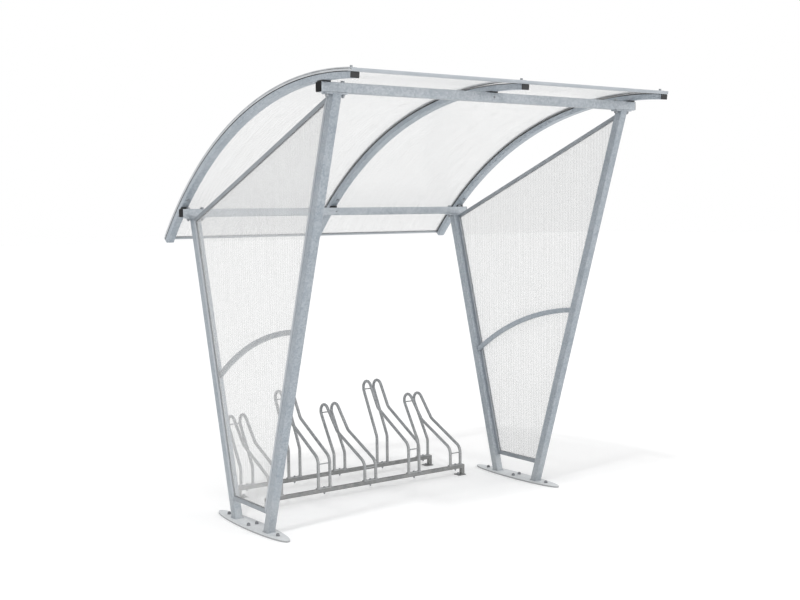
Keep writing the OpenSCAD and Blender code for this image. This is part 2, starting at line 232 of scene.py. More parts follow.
def fan(ring, centre, flip):
    """Triangles from the points numbered in ring, a closed loop, to one centre point."""
    nxt = np.roll(ring, -1)
    first, second = (nxt, ring) if flip else (ring, nxt)
    return np.stack([first, second, np.full(len(ring), centre)], -1)


def joined(shells):
    """Several shells as one."""
    counts = np.cumsum([0] + [len(s[0]) for s in shells])
    points = np.concatenate([s[0] for s in shells])
    quads = np.concatenate([s[1] + n for s, n in zip(shells, counts)])
    tris = np.concatenate([s[2] + n for s, n in zip(shells, counts)])
    return points, quads, tris


NO_TRIS = np.zeros((0, 3), int)


def carry(outline, path, across, up, scale=None):
    """Point (i, j) is path i + across i times the outline's x at j + up i times its y, each scaled."""
    scale = np.ones(len(path)) if scale is None else np.asarray(scale, float)
    flat = outline[None, :, :] * scale[:, None, None]
    return path[:, None, :] + flat[..., :1] * across[:, None, :] + flat[..., 1:] * up[:, None, :]


def capped(rings, ends):
    """A shell through rings of points, whose first and last ring each have a fan to an end point."""
    n, k = rings.shape[:2]
    ring = np.arange(k)
    tris = np.concatenate([fan(ring, n * k, True), fan(ring + (n - 1) * k, n * k + 1, False)])
    return outward(np.concatenate([rings.reshape(-1, 3), ends]), grid_quads(n, k, wrap_cols=True), tris)


def bar(outline, path, across, up, scale=None):
    """A solid outline carried along a path, closed by a flat fan at each end."""
    rings = carry(outline, path, across, up, scale)
    return capped(rings, rings[[0, -1]].mean(1))


def tube(outline, bore, path, across, up):
    """A hollow section: the outline goes along the path and the bore comes back, closed both ways."""
    rings = np.concatenate([carry(outline, path, across, up), carry(bore, path, across, up)[::-1]])
    n, k = rings.shape[:2]
    return outward(rings.reshape(-1, 3), grid_quads(n, k, True, True), NO_TRIS)


def volume(points, quads, tris):
    """Signed volume: a sixth of the sum of a . (b x c) over the faces' triangles."""
    t = np.concatenate([quads[:, [0, 1, 2]], quads[:, [0, 2, 3]], tris])
    a, b, c = points[t[:, 0]], points[t[:, 1]], points[t[:, 2]]
    return np.einsum("ij,ij->i", a, np.cross(b, c)).sum() / 6


def outward(points, quads, tris):
    """The same closed shell with every face turned outwards."""
    if volume(points - points.mean(0), quads, tris) < 0:
        quads, tris = quads[:, ::-1], tris[:, ::-1]
    return points, quads, tris


def blocks(corners):
    """Six-sided blocks from N x 8 x 3 corners: four below, anticlockwise, and the four over them."""
    sides = np.array([[0, 3, 2, 1], [4, 5, 6, 7], [0, 1, 5, 4], [1, 2, 6, 5], [2, 3, 7, 6],
                      [3, 0, 4, 7]])
    quads = (sides[None] + 8 * np.arange(len(corners))[:, None, None]).reshape(-1, 4)
    return outward(corners.reshape(-1, 3), quads, NO_TRIS)


# ---------- outlines and paths ----------

def rounded_rectangle(width, height, radius, steps=4):
    """Rectangle with quarter-circle corners: corner centre + radius (cos a, sin a), anticlockwise."""
    a = np.radians(90 * np.arange(4)[:, None] + np.linspace(0, 90, steps + 1)[None, :])
    x = (width / 2 - radius) * np.array([1, -1, -1, 1])[:, None] + radius * np.cos(a)
    y = (height / 2 - radius) * np.array([1, 1, -1, -1])[:, None] + radius * np.sin(a)
    return np.stack([x, y], -1).reshape(-1, 2)


def turn_angles(sides):
    """Equal angles round a full turn."""
    return np.linspace(0, 2 * np.pi, sides, endpoint=False)


def circle(radius, sides=20):
    """Points radius (cos a, sin a) at equal angles a."""
    a = turn_angles(sides)
    return radius * np.stack([np.cos(a), np.sin(a)], -1)


def constant(vector, count):
    """One vector for each point of a path."""
    return np.tile(np.asarray(vector, float), (count, 1))


def along_x(lo, hi, steps):
    """A level path along X through the middle of a box, from its low end to its high end."""
    middle = (lo + hi) / 2
    x = np.linspace(lo[0], hi[0], steps)
    return np.column_stack([x, np.full(steps, middle[1]), np.full(steps, middle[2])])


def arc_path(radius, angles, x):
    """Points about the roof curve's centre at angles behind its top, and the outward direction there."""
    a = np.radians(angles)
    out = np.stack([np.zeros_like(a), np.sin(a), np.cos(a)], -1)
    return np.array([x, CURVE_Y, CURVE_Z]) + radius * out, out


def curved_strip(width, thick, corner, radius, angles, x, corner_steps=4, scale=None):
    """A solid strip with rounded edges, carried along an arc of the roof at its own radius."""
    path, out = arc_path(radius, angles, x)
    return bar(rounded_rectangle(width, thick, corner, corner_steps), path, constant([1, 0, 0], len(path)),
               out, scale)


def arc_degrees(length):
    """Angle of a length along the roof arches."""
    return math.degrees(length / ARCH_RADIUS)


def rounded_path(corners, radii, per_bend=9):
    """Path through corners in the YZ plane whose bends are circle arcs tangent to both their straights.

    A bend of radius r that turns by w takes r tan(w / 2) from each straight. After an angle a of it,
    the path is r sin a ahead of the bend's start and r (1 - cos a) to its inner side.
    """
    points = [corners[0]]
    for before, corner, after, r in zip(corners[:-2], corners[1:-1], corners[2:], radii):
        u = (corner - before) / np.linalg.norm(corner - before)
        v = (after - corner) / np.linalg.norm(after - corner)
        turn = math.atan2(u[0] * v[1] - u[1] * v[0], u @ v)
        start = corner - u * r * math.tan(abs(turn) / 2)
        normal = np.array([-u[1], u[0]]) * np.sign(turn)
        w = np.linspace(0, abs(turn), per_bend)[:, None]
        points.extend(start + normal * r * (1 - np.cos(w)) + u * r * np.sin(w))
    points.append(corners[-1])
    return np.array(points)


def in_plane(path, x):
    """A YZ path as 3-D points at X = x, with its across (X) and up directions.

    The up direction is the path's tangent turned a quarter within the plane.
    """
    tangent = np.gradient(path, axis=0)
    tangent /= np.linalg.norm(tangent, axis=1)[:, None]
    n = len(path)
    points = np.column_stack([np.full(n, x), path])
    return points, constant([1, 0, 0], n), np.column_stack([np.zeros(n), -tangent[:, 1], tangent[:, 0]])


# ---------- turned and threaded things ----------

def facing(axis):
    """Two directions that make a right-handed set with the axis."""
    axis = np.asarray(axis, float) / np.linalg.norm(axis)
    aside = np.array([1.0, 0, 0]) if abs(axis[0]) < 0.9 else np.array([0, 1.0, 0])
    u = np.cross(aside, axis)
    u /= np.linalg.norm(u)
    return u, np.cross(axis, u), axis


def lathe(heights, radii, base, axis):
    """Closed surface round an axis.

    Point (i, j) is the base, plus height i along the axis, plus radius (i, j) outwards at angle j.
    """
    u, v, w = facing(axis)
    a = turn_angles(radii.shape[1])[:, None]
    spokes = np.cos(a) * u + np.sin(a) * v
    rings = np.asarray(base) + heights[:, None, None] * w + radii[..., None] * spokes
    return capped(rings, np.asarray(base) + heights[[0, -1], None] * w)


def turned(profile, base, axis=(0, 0, 1), sides=18, flats=None):
    """Surface of revolution: its profile's points (h, r) are at height h along the axis with radius r.

    With flats, the radius at angle a is the smaller of r and that of a hexagon,
    flats / 2 / cos(a folded into +-30 degrees).
    """
    profile = np.asarray(profile, float)
    radii = np.repeat(profile[:, 1:2], sides, axis=1)
    if flats is not None:
        folded = (turn_angles(sides) + np.pi / 6) % (np.pi / 3) - np.pi / 6
        radii = np.minimum(radii, flats / 2 / np.cos(folded)[None, :])
    return lathe(profile[:, 0], radii, base, axis)


def threaded(d, length, base, axis=(0, 0, 1), sides=14):
    """Bolt thread: radius d / 2 less a triangle wave of the height over the pitch minus the turn."""
    pitch, depth = 0.15 * d, 0.07 * d
    h = np.arange(0, length, pitch / 4)
    phase = (h[:, None] / pitch - turn_angles(sides)[None, :] / (2 * np.pi)) % 1
    radii = d / 2 - depth * np.abs(2 * phase - 1)
    radii[-1] = d / 2 - 1.6 * depth
    return lathe(h, radii, base, axis)


def washer(d, base, axis=(0, 0, 1)):
    """Flat disc twice the bolt's diameter wide, with its rims broken."""
    r, t = d, WASHER * d
    return turned([(0, r - 0.03 * d), (0.04 * d, r), (t - 0.04 * d, r), (t, r - 0.03 * d)], base, axis,
                  sides=24)


def hexagon(d, height, base, axis=(0, 0, 1)):
    """Bolt head or nut 1.6 d across its flats, whose corners are chamfered by a wider cone."""
    r, c = 0.92 * d, 0.10 * d
    return turned([(0, r - c), (c, r), (height - c, r), (height, r - c)], base, axis, sides=36,
                  flats=1.6 * d)


def headed_bolt(d, top, axis=(0, 0, 1)):
    """Washer and head that stand out of a face along the axis."""
    axis = np.asarray(axis, float)
    return [washer(d, top, axis), hexagon(d, HEAD * d, top + WASHER * d * axis, axis)]


def nutted_end(d, top, axis=(0, 0, 1), tip=LONG_TIP):
    """Washer, nut and a thread's tip that stand out of a face along the axis."""
    axis = np.asarray(axis, float)
    return [washer(d, top, axis), hexagon(d, NUT * d, top + WASHER * d * axis, axis),
            threaded(d, (0.9 + tip) * d, top + 0.1 * d * axis, axis)]


def weld(loop, radius, ripples):
    """Closed weld bead along a loop of points in one level: a circle swept round the loop.

    Its radius swells and shrinks by 12 % with the ripples, as the pool of each step does.
    """
    n = len(loop)
    tangent = np.roll(loop, -1, axis=0) - np.roll(loop, 1, axis=0)
    tangent /= np.linalg.norm(tangent, axis=1)[:, None]
    up = constant([0, 0, 1], n)
    across = np.cross(up, tangent)
    across /= np.linalg.norm(across, axis=1)[:, None]
    up = np.cross(tangent, across)
    run = np.linalg.norm(np.roll(loop, -1, axis=0) - loop, axis=1)
    along = np.concatenate([[0], np.cumsum(run)[:-1]]) / run.sum()
    swell = 1 + 0.12 * np.sin(2 * np.pi * ripples * along)
    rings = carry(circle(radius, 8), loop, across, up, swell)
    return outward(rings.reshape(-1, 3), grid_quads(n, 8, True, True), NO_TRIS)


def resampled(loop, count):
    """A closed loop as count points at equal distances along it."""
    closed = np.vstack([loop, loop[:1]])
    run = np.concatenate([[0], np.cumsum(np.linalg.norm(np.diff(closed, axis=0), axis=1))])
    s = np.linspace(0, run[-1], count, endpoint=False)
    return np.column_stack([np.interp(s, run, closed[:, k]) for k in range(closed.shape[1])])


# ---------- shader node groups ----------

def node(tree, kind, **values):
    """A new node with its own settings and the default values of its named inputs."""
    n = tree.nodes.new(kind)
    for key, value in values.items():
        if key in n.inputs.keys():
            n.inputs[key].default_value = value
        else:
            setattr(n, key, value)
    return n


def new_group(name, inputs, outputs):
    """A shader node group with float inputs {name: default} and outputs {name: socket type}."""
    tree = bpy.data.node_groups.new(name, "ShaderNodeTree")
    for key, value in inputs.items():
        s = tree.interface.new_socket(name=key, in_out="INPUT", socket_type="NodeSocketFloat")
        s.default_value = value
    for key, kind in outputs.items():
        tree.interface.new_socket(name=key, in_out="OUTPUT", socket_type=kind)
    return tree, tree.nodes.new("NodeGroupInput"), tree.nodes.new("NodeGroupOutput")


def maths(tree, operation, a, b):
    """A Math node; a and b are sockets or numbers."""
    n = tree.nodes.new("ShaderNodeMath")
    n.operation = operation
    for socket, value in zip(n.inputs, (a, b)):
        if isinstance(value, (int, float)):
            socket.default_value = value
        else:
            tree.links.new(value, socket)
    return n.outputs[0]


def spangle_group():
    """Zinc crystals: cells with a shade each, blotches over them, and fine grain for the bump."""
    tree, into, out = new_group("zinc_spangle", {"Crystals": 85.0, "Blotches": 5.0, "Offset": 0.0},
                                {"Flake": "NodeSocketFloat", "Blotch": "NodeSocketFloat",
                                 "Height": "NodeSocketFloat"})
    place = node(tree, "ShaderNodeTexCoord").outputs["Object"]
    shift = node(tree, "ShaderNodeVectorMath", operation="ADD")
    tree.links.new(place, shift.inputs[0])
    tree.links.new(into.outputs["Offset"], shift.inputs[1])
    warp = node(tree, "ShaderNodeTexNoise", Scale=60.0, Detail=2.0)
    tree.links.new(shift.outputs[0], warp.inputs["Vector"])
    bent = node(tree, "ShaderNodeVectorMath", operation="MULTIPLY_ADD")
    bent.inputs[1].default_value = (0.006, 0.006, 0.006)
    tree.links.new(warp.outputs["Color"], bent.inputs[0])
    tree.links.new(shift.outputs[0], bent.inputs[2])
    cells = node(tree, "ShaderNodeTexVoronoi", feature="F1")
    tree.links.new(bent.outputs[0], cells.inputs["Vector"])
    tree.links.new(into.outputs["Crystals"], cells.inputs["Scale"])
    shade = node(tree, "ShaderNodeSeparateColor")
    tree.links.new(cells.outputs["Color"], shade.inputs[0])
    blotch = node(tree, "ShaderNodeTexNoise", Detail=4.0, Roughness=0.6)
    tree.links.new(shift.outputs[0], blotch.inputs["Vector"])
    tree.links.new(into.outputs["Blotches"], blotch.inputs["Scale"])
    fine = node(tree, "ShaderNodeTexNoise", Scale=420.0, Detail=3.0)
    tree.links.new(place, fine.inputs["Vector"])
    height = maths(tree, "ADD", maths(tree, "MULTIPLY", shade.outputs[1], 0.5), fine.outputs["Fac"])
    tree.links.new(shade.outputs[0], out.inputs["Flake"])
    tree.links.new(blotch.outputs["Fac"], out.inputs["Blotch"])
    tree.links.new(height, out.inputs["Height"])
    return tree


def drawn_group():
    """Fine lines along one direction, as on drawn metal or moulded strip, and faint spots."""
    tree, into, out = new_group("drawn_lines", {"Along X": 3.0, "Along Y": 300.0, "Along Z": 300.0},
                                {"Line": "NodeSocketFloat", "Spot": "NodeSocketFloat"})
    place = node(tree, "ShaderNodeTexCoord").outputs["Object"]
    squeeze = node(tree, "ShaderNodeCombineXYZ")
    for k, axis in enumerate(("Along X", "Along Y", "Along Z")):
        tree.links.new(into.outputs[axis], squeeze.inputs[k])
    scaled = node(tree, "ShaderNodeVectorMath", operation="MULTIPLY")
    tree.links.new(place, scaled.inputs[0])
    tree.links.new(squeeze.outputs[0], scaled.inputs[1])
    line = node(tree, "ShaderNodeTexNoise", Scale=1.0, Detail=3.0)
    tree.links.new(scaled.outputs[0], line.inputs["Vector"])
    spot = node(tree, "ShaderNodeTexNoise", Scale=14.0, Detail=4.0)
    tree.links.new(place, spot.inputs["Vector"])
    tree.links.new(line.outputs["Fac"], out.inputs["Line"])
    tree.links.new(spot.outputs["Fac"], out.inputs["Spot"])
    return tree


def dust_group():
    """Splash and dust near the floor: full at the floor, gone at the height Reach, broken by noise."""
    tree, into, out = new_group("floor_dust", {"Reach": 0.35, "Strength": 0.6},
                                {"Dust": "NodeSocketFloat"})
    place = node(tree, "ShaderNodeTexCoord").outputs["Object"]
    split = node(tree, "ShaderNodeSeparateXYZ")
    tree.links.new(place, split.inputs[0])
    fade = node(tree, "ShaderNodeMapRange", interpolation_type="SMOOTHSTEP")
    fade.inputs["To Min"].default_value = 1.0
    fade.inputs["To Max"].default_value = 0.0
    tree.links.new(split.outputs[2], fade.inputs["Value"])
    tree.links.new(into.outputs["Reach"], fade.inputs["From Max"])
    cloud = node(tree, "ShaderNodeTexNoise", Scale=18.0, Detail=5.0, Roughness=0.65)
    tree.links.new(place, cloud.inputs["Vector"])
    broken = maths(tree, "MULTIPLY", fade.outputs[0], cloud.outputs["Fac"])
    tree.links.new(maths(tree, "MULTIPLY", broken, into.outputs["Strength"]), out.inputs["Dust"])
    return tree


SPANGLE = spangle_group()
DRAWN = drawn_group()
DUST = dust_group()


# ---------- materials ----------

def new_material(name, **shader):
    """A material with one Principled BSDF whose sockets take the given constant values."""
    material = bpy.data.materials.new(name)
    material.use_nodes = True
    tree = material.node_tree
    tree.nodes.clear()
    principled = tree.nodes.new("ShaderNodeBsdfPrincipled")
    output = tree.nodes.new("ShaderNodeOutputMaterial")
    tree.links.new(principled.outputs[0], output.inputs[0])
    for key, value in shader.items():
        principled.inputs[key.replace("_", " ")].default_value = value
    return material, tree, principled


def placed(tree, group, **values):
    """A group placed in a material with its own input values."""
    n = tree.nodes.new("ShaderNodeGroup")
    n.node_tree = group
    for key, value in values.items():
        n.inputs[key.replace("_", " ")].default_value = value
    return n


def blend(tree, factor, first, second):
    """Mix of two colours, or colour sockets, by a factor socket."""
    n = tree.nodes.new("ShaderNodeMix")
    n.data_type = "RGBA"
    tree.links.new(factor, n.inputs["Factor"])
    for socket, value in ((n.inputs[6], first), (n.inputs[7], second)):
        if isinstance(value, tuple):
            socket.default_value = (*value, 1.0)
        else:
            tree.links.new(value, socket)
    return n.outputs[2]


def spread(tree, socket, low, high, start=0.3, end=0.7):
    """The socket's values from start to end as numbers from low to high."""
    n = node(tree, "ShaderNodeMapRange")
    for key, value in (("From Min", start), ("From Max", end), ("To Min", low), ("To Max", high)):
        n.inputs[key].default_value = value
    tree.links.new(socket, n.inputs["Value"])
    return n.outputs[0]


def bumped(tree, principled, height, strength, distance):
    n = node(tree, "ShaderNodeBump", Strength=strength, Distance=distance)
    tree.links.new(height, n.inputs["Height"])
    tree.links.new(n.outputs[0], principled.inputs["Normal"])


def galvanised(name, dark, light, crystals, offset, metallic=0.45, dusty=0.5, rim=None):
    """Hot-dip zinc: each crystal and blotch has its own shade and gloss, duller and paler near the floor.

    With a rim height, what lies more than 1 mm below it is painted shade: the side faces are darker than
    the lit top.
    """
    material, tree, principled = new_material(name, Metallic=metallic, Specular_IOR_Level=0.5)
    spangle = placed(tree, SPANGLE, Crystals=crystals, Blotches=6.0, Offset=offset)
    dust = placed(tree, DUST, Reach=0.4, Strength=dusty)
    mixed = maths(tree, "ADD", maths(tree, "MULTIPLY", spangle.outputs["Flake"], 0.45),
                  maths(tree, "MULTIPLY", spangle.outputs["Blotch"], 0.55))
    zinc = blend(tree, spread(tree, mixed, 0, 1, 0.25, 0.78), dark, light)
    if rim is not None:
        place = node(tree, "ShaderNodeTexCoord").outputs["Object"]
        split = node(tree, "ShaderNodeSeparateXYZ")
        tree.links.new(place, split.inputs[0])
        # Painted shade: the side faces below the plate's top are darker than its lit top face.
        painted_side_shade = spread(tree, split.outputs[2], 0, 1, rim - 0.0012, rim - 0.0006)
        zinc = blend(tree, painted_side_shade, tuple(0.45 * c for c in dark), zinc)
    tree.links.new(blend(tree, dust.outputs["Dust"], zinc, (0.60, 0.60, 0.58)),
                   principled.inputs["Base Color"])
    gloss = spread(tree, spangle.outputs["Flake"], 0.34, 0.56, 0.0, 1.0)
    tree.links.new(maths(tree, "ADD", gloss, maths(tree, "MULTIPLY", dust.outputs["Dust"], 0.3)),
                   principled.inputs["Roughness"])
    bumped(tree, principled, spangle.outputs["Height"], 0.18, 0.0006)
    return material


def drawn_metal(name, dark, light, along, metallic=0.6, roughness=(0.28, 0.46)):
    """Extruded aluminium: fine lines along the profile, and a cloudy oxide."""
    material, tree, principled = new_material(name, Metallic=metallic)
    lines = placed(tree, DRAWN, Along_X=along[0], Along_Y=along[1], Along_Z=along[2])
    mixed = maths(tree, "ADD", maths(tree, "MULTIPLY", lines.outputs["Line"], 0.5),
                  maths(tree, "MULTIPLY", lines.outputs["Spot"], 0.5))
    tree.links.new(blend(tree, spread(tree, mixed, 0, 1), dark, light),
                   principled.inputs["Base Color"])
    tree.links.new(spread(tree, lines.outputs["Spot"], *roughness), principled.inputs["Roughness"])
    bumped(tree, principled, lines.outputs["Line"], 0.12, 0.0004)
    return material


def black_moulding(name, colour, roughness, dusty, shine):
    """Moulded plastic or rubber with a fine grain, slightly paler where dust sits."""
    material, tree, principled = new_material(name, Specular_IOR_Level=shine)
    grain = node(tree, "ShaderNodeTexNoise", Scale=900.0, Detail=2.0)
    cloud = node(tree, "ShaderNodeTexNoise", Scale=30.0, Detail=4.0)
    place = node(tree, "ShaderNodeTexCoord").outputs["Object"]
    tree.links.new(place, grain.inputs["Vector"])
    tree.links.new(place, cloud.inputs["Vector"])
    paler = tuple(c + dusty for c in colour)
    tree.links.new(blend(tree, spread(tree, cloud.outputs["Fac"], 0, 1), colour, paler),
                   principled.inputs["Base Color"])
    tree.links.new(spread(tree, cloud.outputs["Fac"], *roughness), principled.inputs["Roughness"])
    bumped(tree, principled, grain.outputs["Fac"], 0.25, 0.0003)
    return material


def multiwall(name, alpha, clear, milky, flow):
    """Clear twin-wall sheet: thin see-through walls, a little milkier in streaks along the flutes."""
    material, tree, principled = new_material(name, Specular_IOR_Level=0.5)
    lines = placed(tree, DRAWN, Along_X=flow[0], Along_Y=flow[1], Along_Z=flow[2])
    tree.links.new(blend(tree, spread(tree, lines.outputs["Line"], 0, 1), clear, milky),
                   principled.inputs["Base Color"])
    tree.links.new(spread(tree, lines.outputs["Line"], alpha * 0.85, alpha * 1.15),
                   principled.inputs["Alpha"])
    tree.links.new(spread(tree, lines.outputs["Spot"], 0.16, 0.30), principled.inputs["Roughness"])
    bumped(tree, principled, lines.outputs["Line"], 0.08, 0.0005)
    return material


FRAME_ZINC = galvanised("frame_zinc", (0.275, 0.315, 0.355), (0.43, 0.465, 0.50), 120.0, 0.0)
# Painted light: the arches' zinc is about 15 % lighter than the frame zinc, making up for the shade the
# roof sheets cast on the arches' sides.
LIGHTENED_ARCH_ZINC = galvanised("arch_zinc_painted_lighter", (0.315, 0.36, 0.405), (0.49, 0.53, 0.57), 110.0, 5.3)
BEAM_ZINC = galvanised("beam_zinc", (0.33, 0.365, 0.40), (0.50, 0.53, 0.56), 110.0, 3.1)
# The rim height gives the base plates' side faces painted shade.
PLATE_ZINC = galvanised("plate_zinc", (0.64, 0.67, 0.70), (0.79, 0.81, 0.83), 110.0, 7.7, 0.1,
                        rim=PLATE_TOP)
LOOP_ZINC = galvanised("loop_zinc", (0.24, 0.25, 0.26), (0.38, 0.39, 0.40), 130.0, 11.3)
RAIL_ZINC = galvanised("rail_zinc", (0.10, 0.104, 0.108), (0.18, 0.184, 0.188), 130.0, 2.3)
STRIP_ALU = drawn_metal("strip_aluminium", (0.50, 0.52, 0.54), (0.64, 0.66, 0.68), (300, 6, 6), 0.35)
EDGE_ALU = drawn_metal("edge_aluminium", (0.36, 0.39, 0.42), (0.48, 0.51, 0.54), (3, 300, 300))
CHANNEL_ALU = drawn_metal("channel_aluminium", (0.26, 0.285, 0.31), (0.36, 0.385, 0.41), (300, 8, 8))
POST_CHANNEL_ALU = drawn_metal("post_channel_aluminium", (0.38, 0.41, 0.44), (0.50, 0.53, 0.56),
                               (300, 300, 3))
BOLT_ZINC = galvanised("bolt_zinc", (0.25, 0.27, 0.29), (0.42, 0.44, 0.46), 300.0, 5.0, 0.6, 0.2)
ANCHOR_ZINC = galvanised("anchor_zinc", (0.17, 0.18, 0.19), (0.32, 0.33, 0.35), 300.0, 5.0, 0.5, 0.1)
BEAM_CAP_BLACK = black_moulding("beam_cap_black", (0.008, 0.008, 0.009), (0.5, 0.7), 0.006, 0.15)
ARCH_CAP_BLACK = black_moulding("arch_cap_black", (0.020, 0.021, 0.022), (0.42, 0.62), 0.02, 0.4)
BLACK_RUBBER = black_moulding("black_rubber", (0.018, 0.018, 0.019), (0.6, 0.8), 0.012, 0.3)
SIDE_SHEET = multiwall("side_multiwall", 0.15, (0.67, 0.68, 0.68), (0.74, 0.74, 0.74), (1, 130, 1.5))
ROOF_SHEET = multiwall("roof_multiwall", 0.13, (0.75, 0.76, 0.76), (0.83, 0.83, 0.83), (130, 1.5, 1.5))
SIDE_FLUTES = multiwall("side_flutes", 0.055, (0.64, 0.65, 0.65), (0.70, 0.70, 0.70), (40, 40, 1.5))
ROOF_FLUTES = multiwall("roof_flutes", 0.025, (0.72, 0.73, 0.73), (0.78, 0.78, 0.78), (40, 1.5, 1.5))


# ---------- making pieces ----------

SHARP_ANGLE = 34
BROKEN_ANGLE = 40
MERGE = 1e-5


def piece(name, shells, material, stands_for=()):
    """A new piece from its shells, riding on the part's only body."""
    points, quads, tris = joined(shells)
    mesh = bpy.data.meshes.new(name)
    mesh.from_pydata(points.tolist(), [], quads.tolist() + tris.tolist())
    mesh.polygons.foreach_set("use_smooth", [True] * len(mesh.polygons))
    mesh.set_sharp_from_angle(angle=math.radians(SHARP_ANGLE))
    mesh.materials.append(material)
    made = bpy.data.objects.new(name, mesh)
    bpy.context.scene.collection.objects.link(made)
    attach(made, BODY)
    if stands_for:
        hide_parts(*stands_for)


def finish_node(name, material, edge=0.0):
    """A CAD node keeps its shape, takes a material and, with edge, has its sharp edges broken."""
    kept = frame["nodes"][name]
    kept.data.materials.clear()
    kept.data.materials.append(material)
    if edge:
        merge = kept.modifiers.new("merge", "WELD")
        merge.merge_threshold = MERGE
        broken = kept.modifiers.new("broken_edge", "BEVEL")
        broken.width = edge
        broken.segments = 2
        broken.limit_method = "ANGLE"
        broken.angle_limit = math.radians(BROKEN_ANGLE)


# ---------- side frames ----------

def leaning_post(node_name):
    """Square tube whose level sections slide along Y, stretched by sqrt(1 + slope^2) along it."""
    lo, hi = low_high(node_name)
    stretch = math.sqrt(1 + lean_of(node_name, POST) ** 2)
    half = POST / 2 * stretch
    foot, head = (lo[1] + half, hi[1] - half) if "rear" in node_name else (hi[1] - half, lo[1] + half)
    z = np.linspace(lo[2], hi[2], POST_STEPS)
    x = np.full(POST_STEPS, (lo[0] + hi[0]) / 2)
    path = np.column_stack([x, np.interp(z, [lo[2], hi[2]], [foot, head]), z])
    outline = rounded_rectangle(POST, POST, TUBE_CORNER) * [1, stretch]
    inner = POST - 2 * POST_WALL
    bore = rounded_rectangle(inner, inner, POST_BORE_CORNER) * [1, stretch]
    shell = tube(outline, bore, path, constant([1, 0, 0], POST_STEPS), constant([0, 1, 0], POST_STEPS))
    return shell, path, outline


def section_weld(centre, outline, radius, ripples, rise, grow):
    """Weld bead round a level tube section: its outline grown a little, at a height over its centre."""
    flat = outline * (1 + grow / np.abs(outline).max())
    loop = np.column_stack([centre[:2] + flat, np.full(len(flat), centre[2] + rise)])
    return weld(resampled(loop, WELD_POINTS), radius, ripples)


for side in ("left", "right"):
    post_welds = []
    for place in ("front", "rear"):
        name = f"{place}_post_{side}"
        shell, path, outline = leaning_post(name)
        piece(f"{name}_tube", [shell], FRAME_ZINC, [name])
        post_welds += [section_weld(path[0], outline, **FOOT_WELD),
                       section_weld(path[-1], outline, **HEAD_WELD)]
        finish_node(f"{place}_head_plate_{side}", BEAM_ZINC, HEAD_PLATE_EDGE)
    piece(f"post_welds_{side}", post_welds, FRAME_ZINC)
    finish_node(f"base_plate_{side}", PLATE_ZINC, BASE_PLATE_EDGE)
    finish_node(f"mid_rail_{side}", FRAME_ZINC, MID_RAIL_EDGE)


# ---------- beams and caps ----------

def beam(node_name, corner=TUBE_CORNER, wall=POST_WALL):
    """Square tube along X with rounded corners."""
    lo, hi = low_high(node_name)
    size = hi[1] - lo[1]
    inner = size - 2 * wall
    bore = rounded_rectangle(inner, inner, max(corner - wall, LEAST_CORNER))
    return tube(rounded_rectangle(size, size, corner), bore, along_x(lo, hi, BEAM_STEPS),
                constant([0, 1, 0], BEAM_STEPS), constant([0, 0, 1], BEAM_STEPS))


def beam_cap(node_name, s, cap_end):
    """End cap: a plug inside the tube, a square rim against its end and a slightly tapered face."""
    lo, hi = low_high(node_name)
    size = hi[1] - lo[1]
    thick = cap_end - hi[0]
    x = s * (hi[0] + np.array([-CAP_PLUG, 0, 0, BEAM_CAP_RIM * thick, thick]))
    y, z = (lo[1] + hi[1]) / 2, (lo[2] + hi[2]) / 2
    path = np.column_stack([x, constant([y, z], 5)])
    return bar(rounded_rectangle(size, size, TUBE_CORNER), path, constant([0, 1, 0], 5),
               constant([0, 0, 1], 5), BEAM_CAP_SCALES)


for place in ("front", "rear"):
    piece(f"{place}_beam_tube", [beam(f"{place}_beam")], BEAM_ZINC, [f"{place}_beam"])

cap_end = low_high("beam_caps")[1][0]
end_caps = [beam_cap(f"{place}_beam", s, cap_end) for place in ("front", "rear") for s in (-1, 1)]
piece("beam_end_caps", end_caps, BEAM_CAP_BLACK, ["beam_caps"])


# ---------- roof ----------

def roof_arch(x):
    """Rectangular tube along the curve, closed at its rear end by a thin plate."""
    path, out = arc_path(ARCH_MIDDLE, np.linspace(-FRONT_ANGLE, REAR_ANGLE, ARCH_STEPS), x)
    bore = rounded_rectangle(ARCH_WIDTH - 2 * ARCH_WALL, ARCH_DEPTH - 2 * ARCH_WALL, ARCH_BORE_CORNER)
    shell = tube(rounded_rectangle(ARCH_WIDTH, ARCH_DEPTH, ARCH_CORNER), bore, path,
                 constant([1, 0, 0], ARCH_STEPS), out)
    closing = np.array([REAR_ANGLE - arc_degrees(ARCH_END_PLATE), REAR_ANGLE])
    end = curved_strip(ARCH_WIDTH - ARCH_WALL, ARCH_DEPTH - ARCH_WALL, ARCH_END_CORNER, ARCH_MIDDLE,
                       closing, x)
    return [shell, end]


def arch_cap(x):
    """Front cap: a plug inside the tube, a rim against its end and a slightly tapered face."""
    reach = np.array([CAP_PLUG, 0, 0, -ARCH_CAP_RIM, -ARCH_CAP])
    return curved_strip(ARCH_WIDTH, ARCH_DEPTH, ARCH_CORNER, ARCH_MIDDLE,
                        -FRONT_ANGLE + np.degrees(reach / ARCH_RADIUS), x, scale=ARCH_CAP_SCALES)


for name, s in SIDES.items():
    piece(f"roof_arch_{name}_tube", roof_arch(s * ARCH_X), LIGHTENED_ARCH_ZINC, [f"roof_arch_{name}"])
piece("arch_end_caps", [arch_cap(s * ARCH_X) for s in SIDES.values()], ARCH_CAP_BLACK,
      ["arch_caps"])


def node_angles(node_name, outer_radius):
    """Start and end angle of a node of the roof, from its farthest points in front and behind."""
    lo, hi = low_high(node_name)
    return [math.degrees(math.asin((y - CURVE_Y) / outer_radius)) for y in (lo[1], hi[1])]


